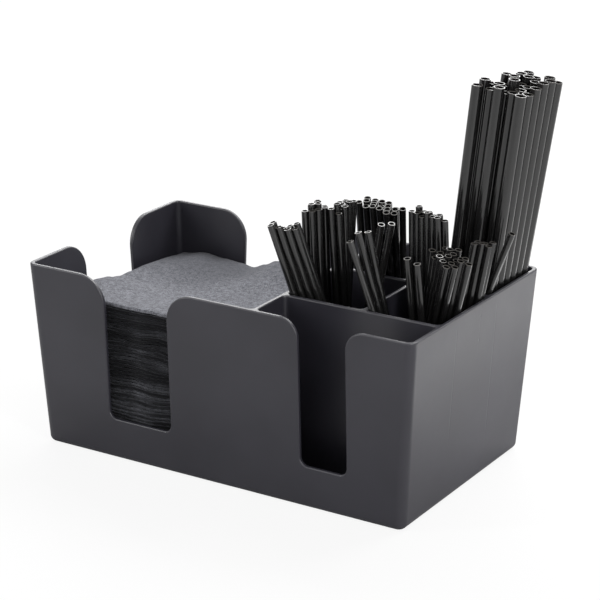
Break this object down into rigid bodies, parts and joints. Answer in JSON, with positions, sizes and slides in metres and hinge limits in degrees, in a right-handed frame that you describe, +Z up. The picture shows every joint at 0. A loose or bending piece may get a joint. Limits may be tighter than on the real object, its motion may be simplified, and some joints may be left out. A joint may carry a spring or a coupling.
{
  "type": "bar caddy",
  "caption": "Open moulded bar caddy with a square napkin bay, a front bay and four small bays, holding a napkin stack, thin straws and tall straws.",
  "frame": {"origin": "middle of the caddy's flat underside", "axes": "+X to the caddy's right along its long front, +Y to the back, +Z up"},
  "size_m": [0.2503, 0.147, 0.2124],
  "materials": {
    "caddy_plastic": "fine satin moulded surface",
    "napkin_paper": "soft tissue paper",
    "straw_plastic": "smooth extruded tube"
  },
  "bodies": {
    "caddy": {"caddy_body": "caddy_plastic"},
    "napkins": {"napkin_stack": "napkin_paper"},
    "loose_napkin": {"top_napkin": "napkin_paper"},
    "short_straws_far_left_body": {"short_straws_far_left": "straw_plastic"},
    "short_straws_left_body": {"short_straws_left": "straw_plastic"},
    "short_straws_middle_body": {"short_straws_middle": "straw_plastic"},
    "crossed_straws_body": {"crossed_straws": "straw_plastic"},
    "short_straws_rear_body": {"short_straws_rear": "straw_plastic"},
    "stir_straws_front_body": {"stir_straws_front": "straw_plastic"},
    "short_straws_rear_right_body": {"short_straws_rear_right": "straw_plastic"},
    "long_straws_body": {"long_straws": "straw_plastic"},
    "leaning_straws_body": {"leaning_straws": "straw_plastic"},
    "stir_straws_wall_body": {"stir_straws_wall": "straw_plastic"},
    "stray_straw_body": {"stray_straw": "straw_plastic"},
    "stir_straws_side_body": {"stir_straws_side": "straw_plastic"}
  },
  "joints": [
    {"name": "napkins_lift", "type": "slide", "parent": "caddy", "child": "napkins", "axis": [0, 0, 1], "range_m": [0, 0.112]},
    {"name": "top_napkin_lift", "type": "slide", "parent": "napkins", "child": "loose_napkin", "axis": [0, 0, 1], "range_m": [0, 0.05]},
    {"name": "short_straws_far_left_lift", "type": "slide", "parent": "caddy", "child": "short_straws_far_left_body", "axis": [-0.0199, -0.0995, 0.9948], "range_m": [0, 0.112]},
    {"name": "short_straws_left_lift", "type": "slide", "parent": "caddy", "child": "short_straws_left_body", "axis": [-0.035, -0.0226, 0.9991], "range_m": [0, 0.112]},
    {"name": "short_straws_middle_lift", "type": "slide", "parent": "caddy", "child": "short_straws_middle_body", "axis": [0, -0.013, 0.9999], "range_m": [0, 0.112]},
    {"name": "crossed_straws_lift", "type": "slide", "parent": "caddy", "child": "crossed_straws_body", "axis": [0.1172, -0.0719, 0.9905], "range_m": [0, 0.112]},
    {"name": "short_straws_rear_lift", "type": "slide", "parent": "caddy", "child": "short_straws_rear_body", "axis": [0, 0, 1], "range_m": [0, 0.112]},
    {"name": "stir_straws_front_lift", "type": "slide", "parent": "caddy", "child": "stir_straws_front_body", "axis": [0.0308, -0.0581, 0.9978], "range_m": [0, 0.112]},
    {"name": "short_straws_rear_right_lift", "type": "slide", "parent": "caddy", "child": "short_straws_rear_right_body", "axis": [0, 0, 1], "range_m": [0, 0.112]},
    {"name": "long_straws_lift", "type": "slide", "parent": "caddy", "child": "long_straws_body", "axis": [0.108, 0.0383, 0.9934], "range_m": [0, 0.112]},
    {"name": "leaning_straws_lift", "type": "slide", "parent": "caddy", "child": "leaning_straws_body", "axis": [-0.1879, -0.0836, 0.9786], "range_m": [0, 0.112]},
    {"name": "stir_straws_wall_lift", "type": "slide", "parent": "caddy", "child": "stir_straws_wall_body", "axis": [0.119, 0.1045, 0.9874], "range_m": [0, 0.112]},
    {"name": "stray_straw_lift", "type": "slide", "parent": "caddy", "child": "stray_straw_body", "axis": [0.341, -0.0131, 0.94], "range_m": [0, 0.112]},
    {"name": "stir_straws_side_lift", "type": "slide", "parent": "caddy", "child": "stir_straws_side_body", "axis": [0.0189, -0.1711, 0.9851], "range_m": [0, 0.112]}
  ]
}
